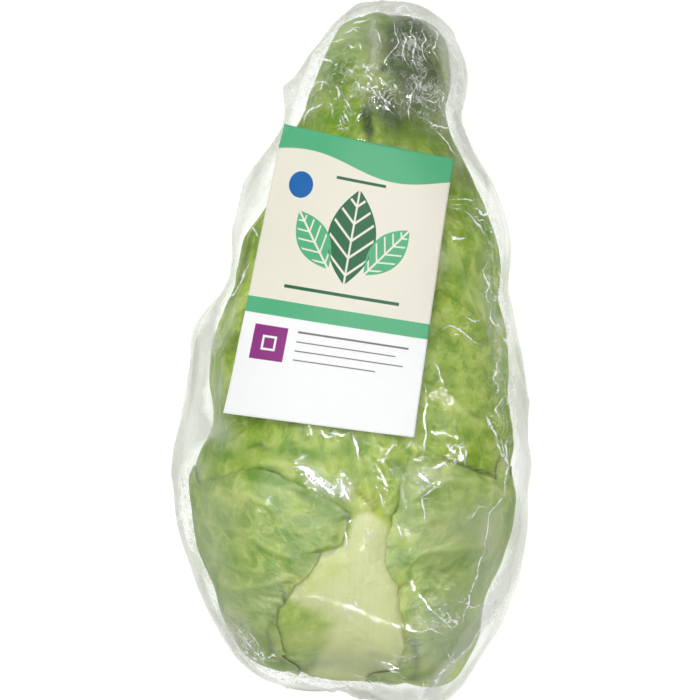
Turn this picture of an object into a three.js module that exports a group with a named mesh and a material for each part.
// A pointed cabbage as it is sold: a tight heart in loose outer leaves, drawn into clear stretch film
// with a plain paper label on its front. Millimetres, +Z up.
// The head lies on its back: its stem end points to -Y, its tip to +Y and the label faces up.
//
// Everything is placed on the heart by three numbers: the length along its skin from the base to the
// tip, the turn round its axis (0 is the front, 90 degrees is +X), and the rise above the skin.
import * as THREE from "three";

// Driving dimensions
const leafThickness = 1.3;
const airGap = 0.7; // between one leaf and the next
const leafDrape = 6; // a leaf bridges what is narrower than this, and comes down as far beyond it
const waveHeight = 1.1; // how far a leaf's margin lifts
const veinHeight = 0.5;
const veinSpacing = 21;
const foldHeight = 1.8; // the inner leaves' margins, which show at the tip
const foldCount = 3;
const stemRadius = 14;
const stemHeight = 4.5;
const stemGap = 0.35;
const filmThickness = 0.6;
const filmClearance = 0.5;
const filmDrape = 9;
const filmPress = 0.1; // how much of its thickness the film gives up under the weight
const labelWidth = 63;
const labelHeight = 95;
const labelThickness = 0.5;
const labelGap = 0.6;
const labelCentre = { x: -5.8, y: 132.4 };
const labelTilt = THREE.MathUtils.degToRad(8);

// The heart's underside is flattened this far above the table, over the back leaf and the film
const bedHeight = airGap + leafThickness + filmClearance + filmThickness - filmPress;
const bedRounding = 3;

const leafColour = 0x9dbb5f;
const heartColour = 0x8da859;
const stemColour = 0xe3e2b8;
const filmColour = 0xe9ede6;
const labelColour = 0xf3eedd;

// The heart from its base to its tip: the place along the head, half the width, the lean to +X, the
// height of its axis, and how far its front and its back stand from that axis.
const stations = [
  { along: 7.5, half: 0, lean: 2, axis: 50, front: 0, back: 0 },
  { along: 9.5, half: 15, lean: 2, axis: 50, front: 15, back: 15 },
  { along: 16, half: 26.5, lean: 2, axis: 50, front: 27, back: 26.5 },
  { along: 30, half: 35.5, lean: 1.8, axis: 50.5, front: 38, back: 39.5 },
  { along: 50, half: 43.3, lean: 0.6, axis: 51, front: 44.5, back: 51 },
  { along: 74, half: 45.5, lean: -1.1, axis: 51, front: 46.5, back: 54 },
  { along: 100, half: 44.9, lean: -0.8, axis: 50, front: 44.5, back: 52.5 },
  { along: 126, half: 39.4, lean: 1.2, axis: 48, front: 41.5, back: 49 },
  { along: 150, half: 35.2, lean: 2.8, axis: 45, front: 39, back: 42 },
  { along: 172, half: 26.8, lean: 1.6, axis: 42, front: 35, back: 34 },
  { along: 192, half: 16.3, lean: 3.5, axis: 39, front: 26.5, back: 24 },
  { along: 207, half: 14.6, lean: 6.6, axis: 37.5, front: 18, back: 17.5 },
  { along: 216.5, half: 9.2, lean: 7.3, axis: 36.5, front: 10, back: 10 },
  { along: 220.5, half: 0, lean: 7.3, axis: 36, front: 0, back: 0 },
];

// How far the film stands off the head at its left and right sides, as a web over the hollows
const webs = [
  { along: 7.5, left: 0, right: 0 },
  { along: 20, left: 1, right: 6 },
  { along: 32, left: 0.5, right: 6 },
  { along: 48, left: 0, right: 1.5 },
  { along: 68, left: 0, right: 0.5 },
  { along: 76, left: 3, right: 0.5 },
  { along: 84, left: 7.5, right: 0.7 },
  { along: 98, left: 6.6, right: 2.4 },
  { along: 112, left: 3.6, right: 2.8 },
  { along: 128, left: 0, right: 1.2 },
  { along: 147, left: 0.3, right: 1.5 },
  { along: 160, left: 4.6, right: 3 },
  { along: 176, left: 5.2, right: 4 },
  { along: 190, left: 1.8, right: 2 },
  { along: 203, left: 0, right: 0.8 },
  { along: 220.5, left: 0, right: 0 },
];

// The outer leaves from the inmost to the outmost. length and turn place a leaf's middle, and twist
// is how many degrees its midrib turns for each millimetre towards the tip. margin holds the
// distance from the middle to the leaf's edge at every eighth of a turn, from the tip by way of +X.
const leaves = [
  {
    name: "leaf_back",
    length: 120, turn: 180, twist: 0,
    margin: [92, 74, 70, 74, 97, 74, 70, 74],
    ribHalfWidth: 12, ribHeight: 2.6, ragged: 0.025, phase: 0.4,
  },
  {
    name: "leaf_right_upper",
    length: 150, turn: 47, twist: -0.275,
    margin: [84, 56, 57, 68, 100, 62, 46, 54],
    ribHalfWidth: 8, ribHeight: 2, ragged: 0.03, phase: 1.7,
  },
  {
    name: "leaf_left_upper",
    length: 150, turn: -62, twist: 0.2,
    margin: [84, 43, 44, 60, 96, 62, 49, 52],
    ribHalfWidth: 8, ribHeight: 2, ragged: 0.03, phase: 2.9,
  },
  {
    name: "leaf_front",
    length: 92, turn: 4, twist: 0,
    margin: [56, 60, 66, 68, 71, 68, 66, 60],
    ribHalfWidth: 17, ribHeight: 3.6, ragged: 0.03, phase: 4.1,
  },
  {
    name: "leaf_left_lower",
    length: 60, turn: -72, twist: 0,
    margin: [26, 37, 53, 28, 40, 42, 44, 26],
    ribHalfWidth: 10, ribHeight: 2.6, ragged: 0.07, phase: 0.9,
  },
  {
    name: "leaf_right_lower",
    length: 62, turn: 78, twist: 0,
    margin: [25, 39, 45, 42, 42, 36, 49, 45],
    ribHalfWidth: 10, ribHeight: 2.6, ragged: 0.04, phase: 5.3,
  },
];

const eighth = Math.PI / 4;
const fullTurn = 2 * Math.PI;

// Eased from 0 below the first edge to 1 above the second
function ease(from, to, x) {
  const t = THREE.MathUtils.clamp((x - from) / (to - from), 0, 1);
  return t * t * (3 - 2 * t);
}

// A curve through the values at the knots, with the slope given at each end
function curveThrough(knots, values, startSlope, endSlope) {
  const last = values.length - 1;
  const slopes = values.map((value, i) => {
    if (i === 0) return startSlope;
    if (i === last) return endSlope;
    const before = knots[i] - knots[i - 1];
    const after = knots[i + 1] - knots[i];
    const steepBefore = (value - values[i - 1]) / before;
    const steepAfter = (values[i + 1] - value) / after;
    return (steepBefore * after + steepAfter * before) / (before + after);
  });
  return (x) => {
    const inside = THREE.MathUtils.clamp(x, knots[0], knots[last]);
    let i = 0;
    while (i < last - 1 && inside > knots[i + 1]) i += 1;
    const span = knots[i + 1] - knots[i];
    const t = (inside - knots[i]) / span;
    const startPull = t * (1 - t) * (1 - t) * span * slopes[i];
    const endPull = t * t * (t - 1) * span * slopes[i + 1];
    const blend = ease(0, 1, t);
    return values[i] * (1 - blend) + values[i + 1] * blend + startPull + endPull;
  };
}

// The stations' own spacing, measured along the skin, gives the length of each
const knots = [0];
for (let i = 1; i < stations.length; i += 1) {
  const step = stations[i].along - stations[i - 1].along;
  const rise = stations[i].half - stations[i - 1].half;
  knots.push(knots[i - 1] + Math.hypot(step, rise));
}
const reach = knots.at(-1);
const column = (key, startSlope, endSlope) =>
  curveThrough(knots, stations.map((station) => station[key]), startSlope, endSlope);
const alongAt = column("along", 0, 0);
const halfAt = column("half", 1, -1);
const leanAt = column("lean", 0, 0);
const axisAt = column("axis", 0, 0);
const frontAt = column("front", 1, -1);
const backAt = column("back", 1, -1);

const webKnots = webs.map((web) => web.along);
const leftWebAt = curveThrough(webKnots, webs.map((web) => web.left), 0, 0);
const rightWebAt = curveThrough(webKnots, webs.map((web) => web.right), 0, 0);

// The web's depth on the side that a turn faces
function webAt(length, turn) {
  const depth = Math.sin(turn) > 0 ? rightWebAt(alongAt(length)) : leftWebAt(alongAt(length));
  return Math.max(0, depth);
}

const smallestRadius = 6; // keeps turns finite close to the two ends
function radiusAt(length) {
  return Math.max(smallestRadius, (2 * halfAt(length) + frontAt(length) + backAt(length)) / 4);
}

// The height that the bare outline has, before the table flattens it
function freeHeight(length, turn) {
  const depth = Math.cos(turn) > 0 ? frontAt(length) : backAt(length);
  return axisAt(length) + depth * Math.cos(turn) * squareness(turn);
}

function squareness(turn) {
  return 1 + 0.025 * Math.sin(2 * turn) ** 2;
}

function skinPoint(length, turn) {
  const half = halfAt(length) - webAt(length, turn);
  const x = leanAt(length) + half * Math.sin(turn) * squareness(turn);
  const above = freeHeight(length, turn) - bedHeight;
  let z = above;
  if (above < -bedRounding) z = 0;
  else if (above < bedRounding) z = (above + bedRounding) ** 2 / (4 * bedRounding);
  return new THREE.Vector3(x, alongAt(length), z + bedHeight);
}

// 1 where the head lies on the table, so that ribs and waves are pressed flat there
function pressed(length, turn) {
  return 1 - ease(bedHeight, bedHeight + 8, freeHeight(length, turn));
}

const poleLength = 1.5; // closer to an end than this, the skin faces along the axis
function skinNormal(length, turn) {
  if (length < 1e-6) return new THREE.Vector3(0, -1, 0);
  if (length > reach - 1e-6) return new THREE.Vector3(0, 1, 0);
  const at = THREE.MathUtils.clamp(length, poleLength, reach - poleLength);
  const step = 0.5;
  const turnStep = step / radiusAt(at);
  const lengthwise = skinPoint(at + step, turn).sub(skinPoint(at - step, turn));
  const round = skinPoint(at, turn + turnStep).sub(skinPoint(at, turn - turnStep));
  return round.cross(lengthwise).normalize();
}

function pointAt(length, turn, rise) {
  return skinPoint(length, turn).addScaledVector(skinNormal(length, turn), rise);
}

// Inner leaves that wind into the tip: each fold rises slowly and drops at its margin
function foldLimit(length, turn) {
  const shown = ease(reach - 110, reach - 45, length) * (1 - ease(reach - 12, reach - 2, length));
  return foldHeight * shown * (1 - pressed(length, turn));
}

function foldRise(length, turn) {
  const wound = (turn / fullTurn) * foldCount + length * 0.012 + 0.2;
  const t = wound - Math.floor(wound);
  return foldLimit(length, turn) * ease(0, 0.84, t) * (1 - ease(0.84, 1, t));
}

function stemRise(length) {
  return (stemHeight + stemGap) * (1 - ease(stemRadius, stemRadius + 8, length));
}

// A place on the head in a leaf's own terms: how far across from its midrib and how far along
function placeOnLeaf(leaf, length, turn) {
  const along = length - leaf.length;
  const midrib = THREE.MathUtils.degToRad(leaf.turn + leaf.twist * along);
  const off = THREE.MathUtils.euclideanModulo(turn - midrib + Math.PI, fullTurn) - Math.PI;
  return { across: off * radiusAt(length), along };
}

// The distance from a leaf's middle to its ragged edge, in the direction of an angle from the tip
function marginAt(leaf, angle) {
  const at = THREE.MathUtils.euclideanModulo(angle, fullTurn) / eighth;
  const first = Math.floor(at);
  const value = (i) => leaf.margin[(first + i + 8) % 8];
  const t = at - first;
  const startSlope = (value(1) - value(-1)) / 2;
  const endSlope = (value(2) - value(0)) / 2;
  const blend = ease(0, 1, t);
  const smooth = value(0) * (1 - blend) + value(1) * blend
    + t * (1 - t) * (1 - t) * startSlope + t * t * (t - 1) * endSlope;
  const torn = 0.6 * Math.sin(9 * angle + leaf.phase) + 0.4 * Math.sin(17 * angle + 2 * leaf.phase);
  const clean = ease(-1, -0.7, Math.cos(angle)); // the stalk end isn't ragged
  return smooth * (1 + leaf.ragged * torn * clean);
}

// What a leaf adds to the place under it: its lifted edge, its blade, its midrib and its veins
function leafRelief(leaf, length, turn) {
  const { across, along } = placeOnLeaf(leaf, length, turn);
  const distance = Math.hypot(across, along);
  const angle = Math.atan2(across, along);
  const edge = marginAt(leaf, angle);
  const free = 1 - pressed(length, turn);

  const wave = 0.5 + 0.5 * Math.sin(7 * angle + leaf.phase);
  const lift = waveHeight * wave * ease(0.72, 1, distance / edge) * free;

  const stalk = marginAt(leaf, Math.PI);
  const grown = THREE.MathUtils.clamp((along + stalk) / (stalk + leaf.margin[0]), 0, 1);
  const ribHalfWidth = leaf.ribHalfWidth * (1 - grown) ** 1.8 + 1.5;
  const ribHeight = leaf.ribHeight * (1 - grown) ** 1.4 + 0.3;
  const rib = ribHeight * (1 - ease(0.35, 1, Math.abs(across) / ribHalfWidth));

  const branch = (along - 0.8 * Math.abs(across) + leaf.phase * 3) / veinSpacing;
  const branching = ease(1, 2.5, Math.abs(across) / ribHalfWidth);
  const vein = veinHeight * branching * (1 - ease(edge - 6, edge, distance));

  // The next leaf lies on the crests of the veins
  const crest = leafThickness + (rib + veinHeight * branching) * free;
  const blade = leafThickness + (rib + vein * Math.cos(Math.PI * branch) ** 6) * free;
  return { covers: distance < edge + 2, lift, blade, crest };
}

// A map of rises over the heart, by length and by turn
const mapRows = 96;
const mapColumns = 96;
const mapStep = reach / mapRows;

function mapOf(riseAt) {
  return Array.from({ length: mapRows + 1 }, (_row, row) =>
    Array.from({ length: mapColumns }, (_col, col) =>
      riseAt(row * mapStep, (col / mapColumns) * fullTurn, row, col)));
}

function readMap(map, length, turn) {
  const row = THREE.MathUtils.clamp(length / reach, 0, 1) * mapRows;
  const col = (THREE.MathUtils.euclideanModulo(turn, fullTurn) / fullTurn) * mapColumns;
  const r = Math.min(mapRows - 1, Math.floor(row));
  const c = Math.floor(col) % mapColumns;
  const next = (c + 1) % mapColumns;
  const t = col - Math.floor(col);
  const low = map[r][c] * (1 - t) + map[r][next] * t;
  const high = map[r + 1][c] * (1 - t) + map[r + 1][next] * t;
  return low + (high - low) * (row - r);
}

// Each place gets one number made from all the places within a distance of it
function gather(map, distance, combine) {
  const rowsNear = Math.round(distance / mapStep);
  return mapOf((length, _turn, row, col) => {
    const cell = (radiusAt(length) * fullTurn) / mapColumns;
    const columnsNear = Math.min(mapColumns / 4, Math.round(distance / cell));
    const found = [];
    for (let r = Math.max(0, row - rowsNear); r <= Math.min(mapRows, row + rowsNear); r += 1) {
      for (let c = col - columnsNear; c <= col + columnsNear; c += 1) {
        found.push(map[r][(c + mapColumns) % mapColumns]);
      }
    }
    return combine(found);
  });
}

// A sheet drawn over the rises of a map touches its tops and never dips below them
function drapeOver(map, distance) {
  const tops = gather(map, distance, (found) => Math.max(...found));
  return gather(tops, distance, (found) => found.reduce((a, b) => a + b, 0) / found.length);
}

// What each leaf lies on, and in the end the film
let stack = mapOf((length, turn) => foldLimit(length, turn) + stemRise(length));
const leafBeds = leaves.map((leaf) => {
  const bed = drapeOver(stack, leafDrape);
  stack = mapOf((length, turn, row, col) => {
    const { covers, lift, crest } = leafRelief(leaf, length, turn);
    return covers ? bed[row][col] + airGap + lift + crest : stack[row][col];
  });
  return bed;
});
const filmBedMap = drapeOver(stack, filmDrape);

// A closed solid from two sheets of points that share one order, joined along their shared rim
function solidBetween(outer, inner, faces, rims) {
  const positions = new Float32Array((outer.length + inner.length) * 3);
  [...outer, ...inner].forEach((point, i) => point.toArray(positions, i * 3));
  const under = outer.length;
  const index = [];
  for (const [a, b, c] of faces) {
    index.push(a, b, c);
    index.push(a + under, c + under, b + under);
  }
  for (const rim of rims) {
    rim.forEach((a, i) => {
      const b = rim[(i + 1) % rim.length];
      index.push(b, a, a + under);
      index.push(b, a + under, b + under);
    });
  }
  const geometry = new THREE.BufferGeometry();
  geometry.setAttribute("position", new THREE.BufferAttribute(positions, 3));
  geometry.setIndex(index);
  geometry.computeVertexNormals();
  return geometry;
}

function piece(name, geometry, colour, looks = {}) {
  const material = new THREE.MeshStandardMaterial({
    color: colour,
    roughness: 0.6,
    metalness: 0,
    ...looks,
  });
  const mesh = new THREE.Mesh(geometry, material);
  mesh.name = name;
  return mesh;
}

// The faces of a grid of rows and columns, and its rim in the order that the faces turn
function gridFaces(rows, columns) {
  const at = (row, col) => row * (columns + 1) + col;
  const faces = [];
  for (let row = 0; row < rows; row += 1) {
    for (let col = 0; col < columns; col += 1) {
      const corners = [at(row, col), at(row, col + 1), at(row + 1, col + 1), at(row + 1, col)];
      faces.push([corners[0], corners[1], corners[2]]);
      faces.push([corners[0], corners[2], corners[3]]);
    }
  }
  const rim = [];
  for (let col = 0; col < columns; col += 1) rim.push(at(0, col));
  for (let row = 0; row < rows; row += 1) rim.push(at(row, columns));
  for (let col = columns; col > 0; col -= 1) rim.push(at(rows, col));
  for (let row = rows; row > 0; row -= 1) rim.push(at(row, 0));
  return { faces, rim };
}

// The faces of a skin of rings round the head, with one point at each end. A hole is a block of
// rows and columns with no faces, and its rim comes back in the order that the faces turn.
function ringFaces(rows, columns, hole) {
  const at = (row, col) => 1 + (row - 1) * columns + (col % columns);
  const tip = 1 + (rows - 1) * columns;
  const inHole = (row, col) =>
    hole && row >= hole.row && row < hole.row + hole.rows
    && col >= hole.column && col < hole.column + hole.columns;
  const faces = [];
  for (let col = 0; col < columns; col += 1) {
    faces.push([0, at(1, col), at(1, col + 1)].reverse());
    faces.push([at(rows - 1, col), tip, at(rows - 1, col + 1)].reverse());
    for (let row = 1; row < rows - 1; row += 1) {
      if (inHole(row, col)) continue;
      const corners = [at(row, col), at(row, col + 1), at(row + 1, col + 1), at(row + 1, col)];
      faces.push([corners[0], corners[1], corners[2]]);
      faces.push([corners[0], corners[2], corners[3]]);
    }
  }
  if (!hole) return { faces, rims: [] };
  const rim = [];
  const [top, right] = [hole.row + hole.rows, hole.column + hole.columns];
  for (let row = hole.row; row < top; row += 1) rim.push(at(row, hole.column));
  for (let col = hole.column; col < right; col += 1) rim.push(at(top, col));
  for (let row = top; row > hole.row; row -= 1) rim.push(at(row, right));
  for (let col = right; col > hole.column; col -= 1) rim.push(at(hole.row, col));
  return { faces, rims: [rim] };
}

// The points of such a skin, where `rise` gives its height over the heart
function ringPoints(rows, columns, rise) {
  const points = [pointAt(0, 0, rise(0, 0))];
  for (let row = 1; row < rows; row += 1) {
    // Rings close up towards the two ends, where the head is most curved
    const share = row / rows - 0.035 * Math.sin(fullTurn * row / rows);
    for (let col = 0; col < columns; col += 1) {
      const turn = (col / columns) * fullTurn;
      points.push(pointAt(share * reach, turn, rise(share * reach, turn)));
    }
  }
  points.push(pointAt(reach, 0, rise(reach, 0)));
  return points;
}

function heart() {
  const [rows, columns] = [26, 36];
  const points = ringPoints(rows, columns, foldRise);
  const { faces } = ringFaces(rows, columns);
  const positions = new Float32Array(points.length * 3);
  points.forEach((point, i) => point.toArray(positions, i * 3));
  const geometry = new THREE.BufferGeometry();
  geometry.setAttribute("position", new THREE.BufferAttribute(positions, 3));
  geometry.setIndex(faces.flat());
  geometry.computeVertexNormals();
  return piece("heart", geometry, heartColour);
}

// The cut stem: a short stub that hugs the heart's base, with a rounded cut edge
function stem() {
  const hug = (radius) => alongAt(radius) - stemGap;
  const face = alongAt(0) - stemGap - stemHeight;
  const round = 1.6;
  const profile = [new THREE.Vector2(0, face)];
  for (let i = 0; i <= 4; i += 1) {
    const angle = (i / 4) * (Math.PI / 2);
    const radius = stemRadius - round + round * Math.sin(angle);
    profile.push(new THREE.Vector2(radius, face + round - round * Math.cos(angle)));
  }
  for (let radius = stemRadius; radius > 0; radius -= 3.5) {
    profile.push(new THREE.Vector2(radius, hug(radius)));
  }
  profile.push(new THREE.Vector2(0, hug(0)));
  const mesh = piece("stem", new THREE.LatheGeometry(profile, 24), stemColour);
  mesh.position.set(leanAt(0), 0, axisAt(0));
  return mesh;
}

const cellSize = 7.5;
const leastCells = 12;

// A leaf as a square grid pressed into the leaf's outline, between the pieces below and its own top
function leafPiece(order) {
  const leaf = leaves[order];
  const [tipward, , right, , baseward, , left] = leaf.margin;
  const rows = Math.max(leastCells, Math.round((tipward + baseward) / cellSize));
  const columns = Math.max(leastCells, Math.round((left + right) / cellSize));
  const outer = [];
  const inner = [];
  for (let row = 0; row <= rows; row += 1) {
    for (let col = 0; col <= columns; col += 1) {
      const p = (2 * col) / columns - 1;
      const q = (2 * row) / rows - 1;
      const across = p * Math.sqrt(1 - q * q / 2);
      const along = q * Math.sqrt(1 - p * p / 2);
      const angle = Math.atan2(
        across * (across > 0 ? right : left),
        along * (along > 0 ? tipward : baseward),
      );
      const distance = Math.hypot(across, along) * marginAt(leaf, angle);
      const length = leaf.length + distance * Math.cos(angle);
      const midrib = THREE.MathUtils.degToRad(leaf.turn + leaf.twist * (length - leaf.length));
      const turn = midrib + (distance * Math.sin(angle)) / radiusAt(length);
      const { lift, blade } = leafRelief(leaf, length, turn);
      const below = readMap(leafBeds[order], length, turn) + airGap + lift;
      inner.push(pointAt(length, turn, below));
      outer.push(pointAt(length, turn, below + blade));
    }
  }
  const { faces, rim } = gridFaces(rows, columns);
  return piece(leaf.name, solidBetween(outer, inner, faces, [rim]), leafColour);
}

// Where the film stands off the leaves: in webs at the sides, round the tip and round the base,
// where it also lies in gathers
function filmSlack(length, turn) {
  const web = 1.2 * webAt(length, turn) * Math.sin(turn) ** 2;
  const side = 2.2 * Math.abs(Math.sin(turn)) ** 3 * ease(10, 60, length) + web;
  const tip = 1.4 * ease(reach - 70, reach - 20, length) + 1.5 * ease(reach - 24, reach, length);
  const base = 1.2 * (1 - ease(10, 55, length));
  const gathers = 0.4 * (0.5 + 0.5 * Math.cos(8 * turn + length * 0.03)) * (tip + base);
  return (side + tip + base + gathers) * (1 - pressed(length, turn));
}

const filmInnerRise = (length, turn) =>
  readMap(filmBedMap, length, turn) + filmClearance + filmSlack(length, turn);
const filmOuterRise = (length, turn) => filmInnerRise(length, turn) + filmThickness;

function film() {
  const [rows, columns] = [28, 40];
  const ventColumn = columns / 2 - 1;
  const vent = { row: 5, rows: 2, column: ventColumn, columns: 2 };
  const { faces, rims } = ringFaces(rows, columns, vent);
  const outer = ringPoints(rows, columns, filmOuterRise);
  const inner = ringPoints(rows, columns, filmInnerRise);
  for (const point of outer) point.z = Math.max(point.z, 0);
  for (const point of inner) point.z = Math.max(point.z, filmThickness - filmPress);
  const looks = { transparent: true, opacity: 0.3, roughness: 0.15 };
  return piece("film", solidBetween(outer, inner, faces, rims), filmColour, looks);
}

// The place on the film's front that lies over a point of the table
function filmTop(x, y) {
  let length = y * 1.05;
  let turn = 0;
  let point;
  for (let i = 0; i < 12; i += 1) {
    point = pointAt(length, turn, filmOuterRise(length, turn));
    length += y - point.y;
    turn += (x - point.x) / radiusAt(length);
  }
  return point;
}

// The label is walked out over the film from its middle, so that it keeps its width and height
function label() {
  const [rows, columns] = [14, 10];
  const across = new THREE.Vector2(Math.cos(labelTilt), -Math.sin(labelTilt));
  const up = new THREE.Vector2(Math.sin(labelTilt), Math.cos(labelTilt));
  const walk = (from, direction, distance) => {
    const steps = 8;
    let at = from.clone();
    for (let i = 0; i < steps; i += 1) {
      const here = filmTop(at.x, at.y);
      const ahead = filmTop(at.x + direction.x, at.y + direction.y);
      const step = distance / steps / Math.hypot(1, ahead.z - here.z);
      at = at.addScaledVector(direction, step);
    }
    return at;
  };
  const middle = new THREE.Vector2(labelCentre.x, labelCentre.y);
  const inner = [];
  const outer = [];
  for (let row = 0; row <= rows; row += 1) {
    const onSpine = walk(middle, up, labelHeight * (row / rows - 0.5));
    for (let col = 0; col <= columns; col += 1) {
      const at = walk(onSpine, across, labelWidth * (col / columns - 0.5));
      const here = filmTop(at.x, at.y);
      const sideways = filmTop(at.x + 1, at.y).sub(here);
      const lengthwise = filmTop(at.x, at.y + 1).sub(here);
      const normal = sideways.cross(lengthwise).normalize();
      inner.push(here.clone().addScaledVector(normal, labelGap));
      outer.push(here.clone().addScaledVector(normal, labelGap + labelThickness));
    }
  }
  const { faces, rim } = gridFaces(rows, columns);
  return piece("label", solidBetween(outer, inner, faces, [rim]), labelColour);
}

const cabbage = new THREE.Group();
cabbage.add(heart(), stem());
leaves.forEach((_, order) => cabbage.add(leafPiece(order)));
cabbage.add(film(), label());

// The origin is on the table, under the middle of the whole thing
const box = new THREE.Box3().setFromObject(cabbage);
const centre = box.getCenter(new THREE.Vector3());
cabbage.position.set(-centre.x, -centre.y, -box.min.z);

export default cabbage;
